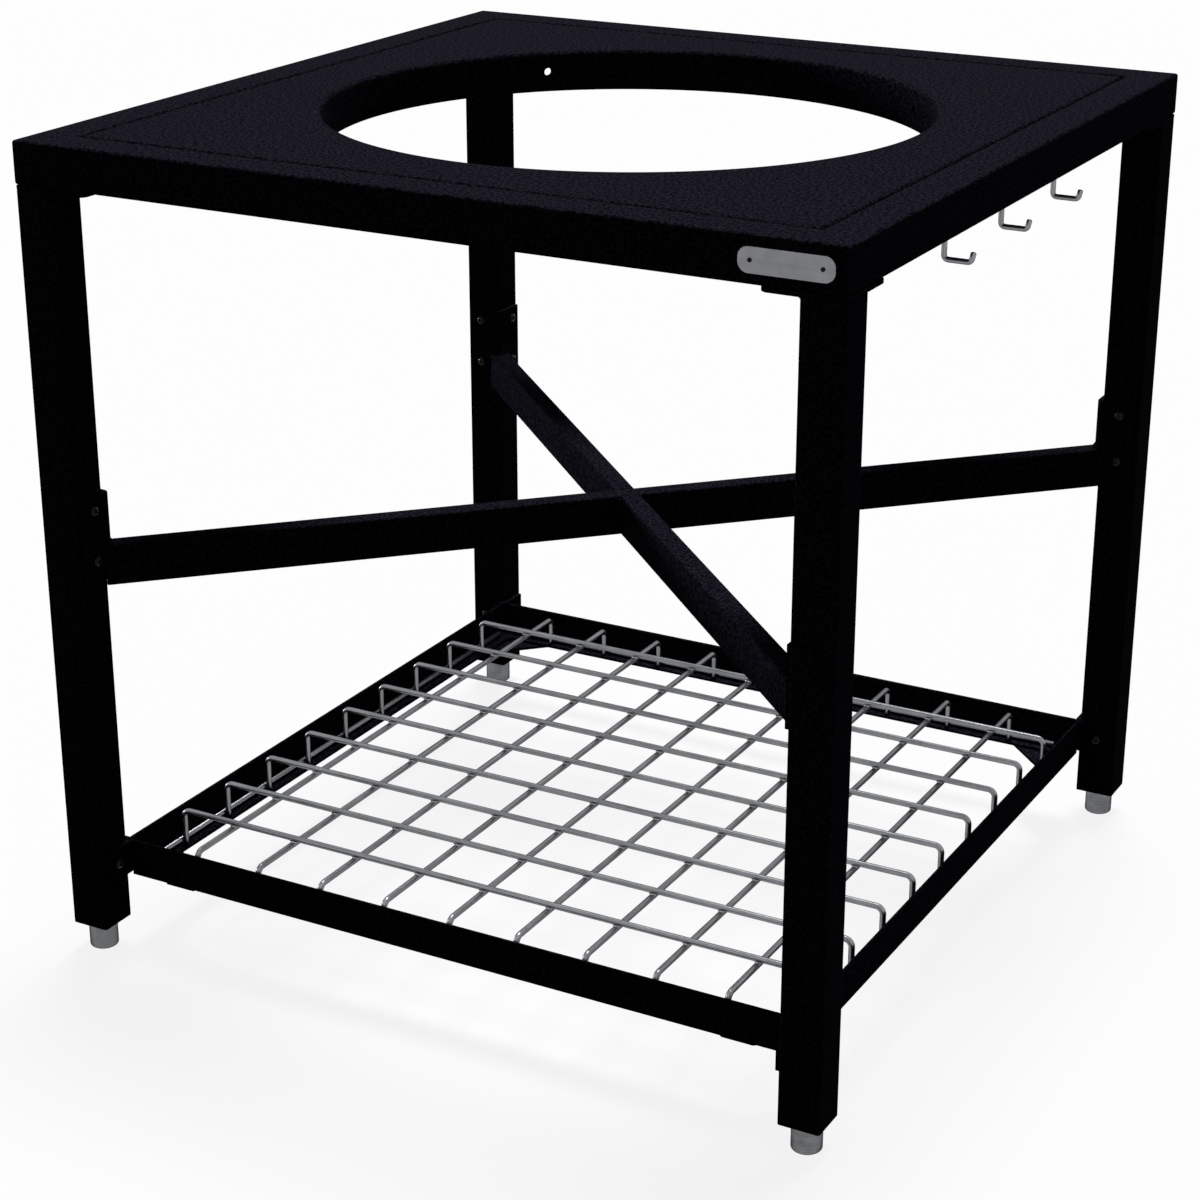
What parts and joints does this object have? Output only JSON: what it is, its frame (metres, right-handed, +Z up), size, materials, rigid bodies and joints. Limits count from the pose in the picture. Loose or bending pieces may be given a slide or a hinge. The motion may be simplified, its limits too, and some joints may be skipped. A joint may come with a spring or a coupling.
{
  "type": "kamado grill frame",
  "caption": "Square black steel stand with a hoop-lined round opening over a cross bar, a drop-in wire shelf, tool hooks and levelling feet, for a kamado grill.",
  "frame": {"origin": "on the floor, under the middle of the stand", "axes": "+Z up, +X to the stand's right, where the tool hooks are, -Y to the front, where the name plate is"},
  "size_m": [0.8, 0.8026, 0.8],
  "materials": {
    "black_coat": "fine-textured satin black powder coat",
    "bright_wire": "bright drawn stainless wire",
    "brushed_plate": "brushed, bare",
    "zinc_stud": "zinc plated",
    "turned_steel": "turned, bare",
    "black_plastic": "black moulded, matte"
  },
  "bodies": {
    "frame": {"rail_front": "black_coat", "rail_right": "black_coat", "rail_back": "black_coat", "rail_left": "black_coat", "top_panel": "black_coat", "support_hoop": "black_coat", "leg_front_left": "black_coat", "leg_front_right": "black_coat", "leg_back_right": "black_coat", "leg_back_left": "black_coat", "leg_head_plate_front_left": "black_coat", "leg_head_plate_front_right": "black_coat", "leg_head_plate_back_right": "black_coat", "leg_head_plate_back_left": "black_coat", "foot_plug_front_left": "black_plastic", "foot_plug_front_right": "black_plastic", "foot_plug_back_right": "black_plastic", "foot_plug_back_left": "black_plastic", "cross_tube_long": "black_coat", "cross_tube_half_left": "black_coat", "cross_tube_half_right": "black_coat", "cross_bracket_front_left": "black_coat", "cross_bracket_front_right": "black_coat", "cross_bracket_back_right": "black_coat", "cross_bracket_back_left": "black_coat", "tray_rail_front": "black_coat", "tray_rail_right": "black_coat", "tray_rail_back": "black_coat", "tray_rail_left": "black_coat", "tray_bracket_front_left": "black_coat", "tray_bracket_front_right": "black_coat", "tray_bracket_back_right": "black_coat", "tray_bracket_back_left": "black_coat", "tray_strap_front_left": "black_coat", "tray_strap_front_right": "black_coat", "tray_strap_back_right": "black_coat", "tray_strap_back_left": "black_coat", "tool_hook_1": "bright_wire", "tool_hook_2": "bright_wire", "tool_hook_3": "bright_wire", "name_plate": "brushed_plate", "name_plate_rivet_left": "black_coat", "name_plate_rivet_right": "black_coat"},
    "foot_front_left": {"foot_pad_front_left": "turned_steel", "foot_stud_front_left": "zinc_stud"},
    "foot_front_right": {"foot_pad_front_right": "turned_steel", "foot_stud_front_right": "zinc_stud"},
    "foot_back_right": {"foot_pad_back_right": "turned_steel", "foot_stud_back_right": "zinc_stud"},
    "foot_back_left": {"foot_pad_back_left": "turned_steel", "foot_stud_back_left": "zinc_stud"},
    "wire_shelf": {"shelf_cross_wires": "bright_wire", "shelf_long_wires": "bright_wire"}
  },
  "joints": [
    {"name": "foot_front_left_level", "type": "slide", "parent": "frame", "child": "foot_front_left", "axis": [0, 0, -1], "range_m": [0, 0.015]},
    {"name": "foot_front_right_level", "type": "slide", "parent": "frame", "child": "foot_front_right", "axis": [0, 0, -1], "range_m": [0, 0.015]},
    {"name": "foot_back_right_level", "type": "slide", "parent": "frame", "child": "foot_back_right", "axis": [0, 0, -1], "range_m": [0, 0.015]},
    {"name": "foot_back_left_level", "type": "slide", "parent": "frame", "child": "foot_back_left", "axis": [0, 0, -1], "range_m": [0, 0.015]},
    {"name": "wire_shelf_lift", "type": "slide", "parent": "frame", "child": "wire_shelf", "axis": [0, 0, 1], "range_m": [0, 0.26]}
  ]
}
